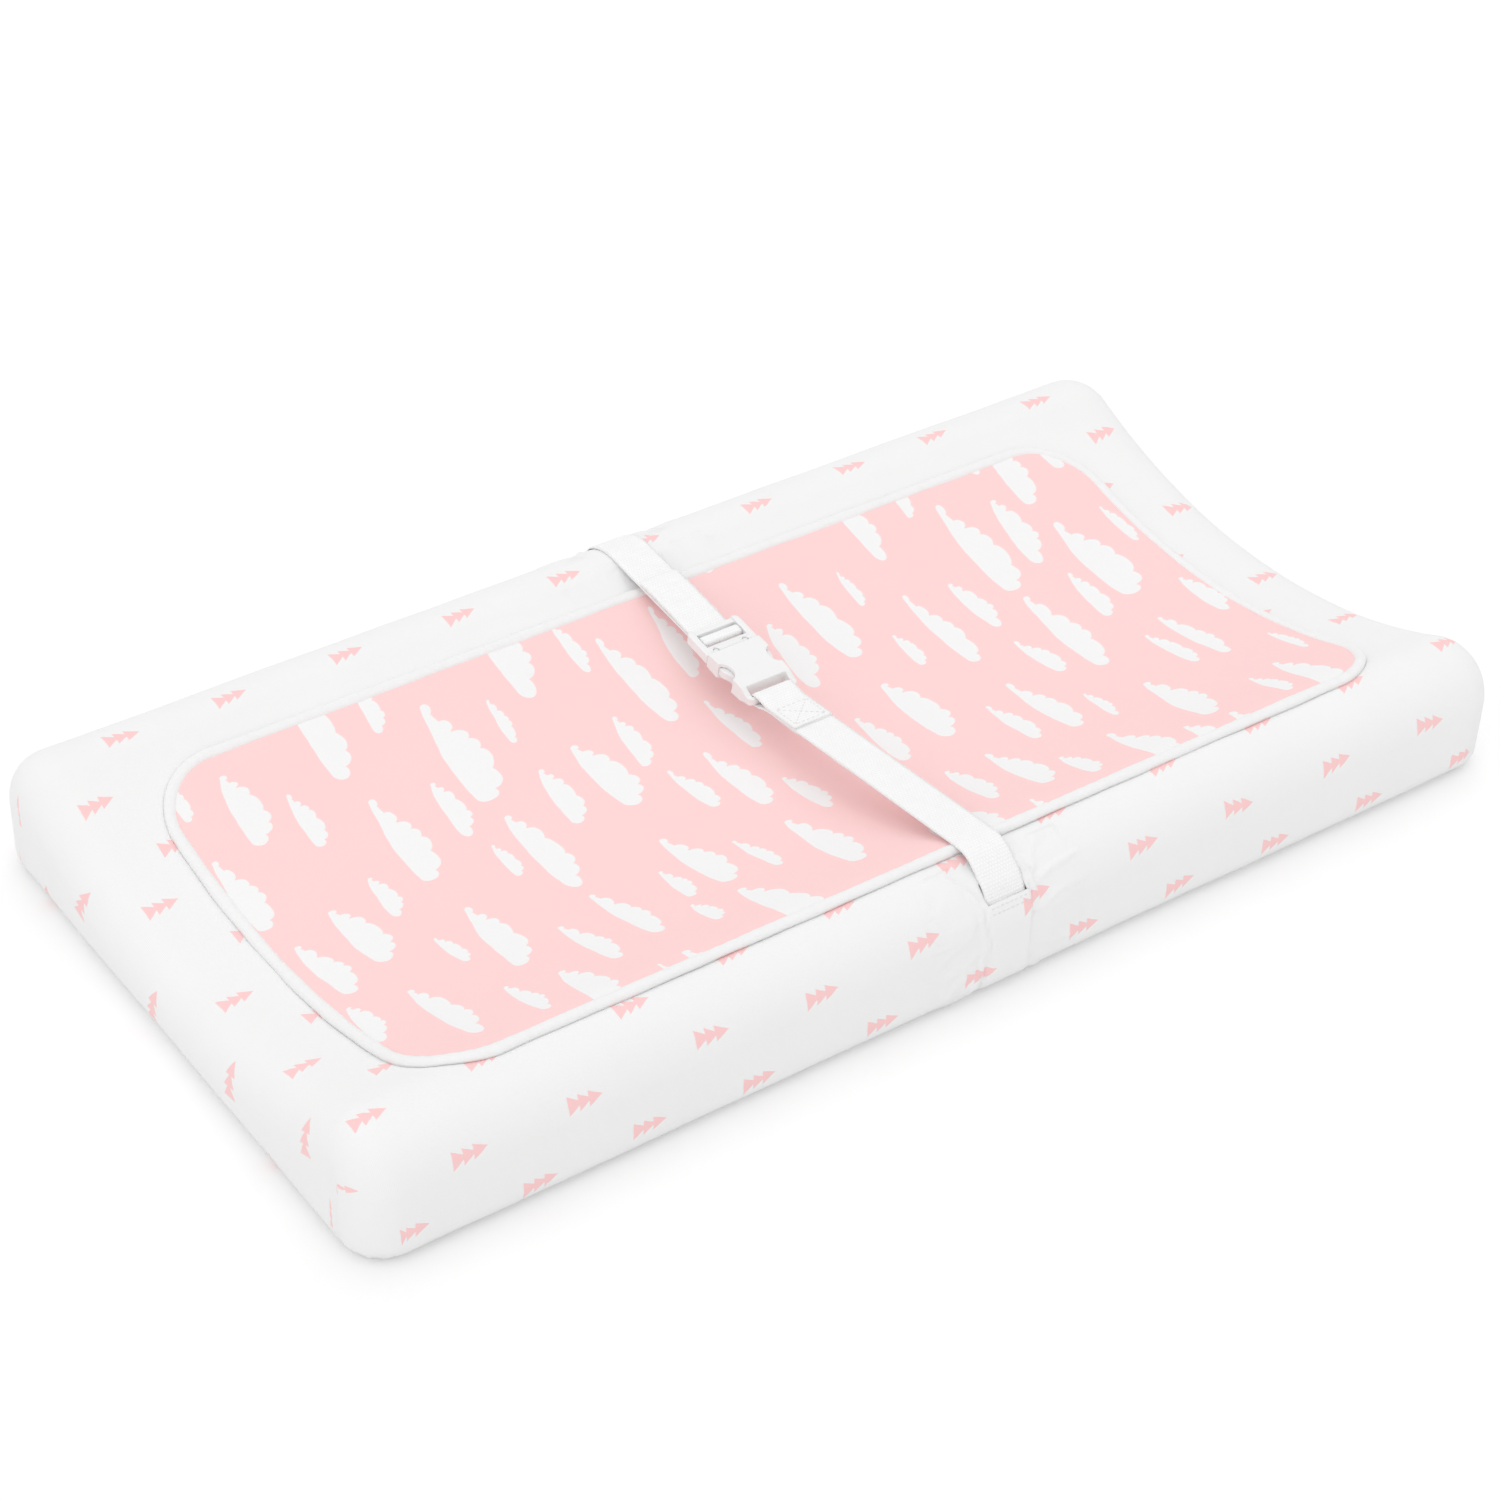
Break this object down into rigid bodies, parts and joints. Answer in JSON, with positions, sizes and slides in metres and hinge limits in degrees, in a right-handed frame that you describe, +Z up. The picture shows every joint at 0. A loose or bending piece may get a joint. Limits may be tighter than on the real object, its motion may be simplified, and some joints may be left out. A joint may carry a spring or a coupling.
{
  "type": "changing pad",
  "caption": "Contoured foam changing pad with raised long sides, a fitted knit cover, a loose printed liner and a safety strap with a side-release buckle.",
  "frame": {"origin": "on the surface the pad lies on, under the middle of its footprint", "axes": "+X along the pad's length, +Y across it to the far long side, +Z up"},
  "size_m": [0.813, 0.4282, 0.086],
  "materials": {
    "foam": "open-cell polyurethane foam",
    "vinyl": "thin wipe-clean sheet",
    "grip_fabric": "woven base cloth with grip dots",
    "cover_knit": "brushed knit, white with small pink triangle motifs",
    "elastic": "braided elastic",
    "liner_back": "laminated waterproof cloth",
    "batting": "absorbent batting",
    "liner_print": "soft woven cotton, pink with white clouds",
    "binding_cloth": "folded binding tape",
    "webbing": "woven polyester webbing",
    "buckle_plastic": "moulded acetal, satin"
  },
  "bodies": {
    "pad": {"foam_core": "foam", "pad_shell": "vinyl", "base_panel": "grip_fabric", "fitted_cover": "cover_knit", "cover_hem": "cover_knit", "hem_elastic": "elastic", "liner_backing": "liner_back", "liner_batting": "batting", "liner_top": "liner_print", "liner_binding": "binding_cloth", "strap_near": "webbing", "strap_far": "webbing", "buckle_socket": "buckle_plastic"},
    "plug": {"buckle_plug": "buckle_plastic"},
    "left_prong": {"prong_left": "buckle_plastic"},
    "right_prong": {"prong_right": "buckle_plastic"}
  },
  "joints": [
    {"name": "buckle_release", "type": "slide", "parent": "pad", "child": "plug", "axis": [0, 0.9903, 0.1392], "range_m": [0, 0.031], "deforming": ["strap_far", "prong_left", "prong_right"]},
    {"name": "prong_left_press", "type": "hinge", "parent": "plug", "child": "left_prong", "pos_m": [0.0052, 0.06433, 0.07233], "axis": [0, -0.1392, 0.9903], "range_deg": [0, 8], "stiffness_Nm_per_rad": 0.1},
    {"name": "prong_right_press", "type": "hinge", "parent": "plug", "child": "right_prong", "pos_m": [0.0268, 0.06433, 0.07233], "axis": [0, 0.1392, -0.9903], "range_deg": [0, 8], "stiffness_Nm_per_rad": 0.1}
  ]
}
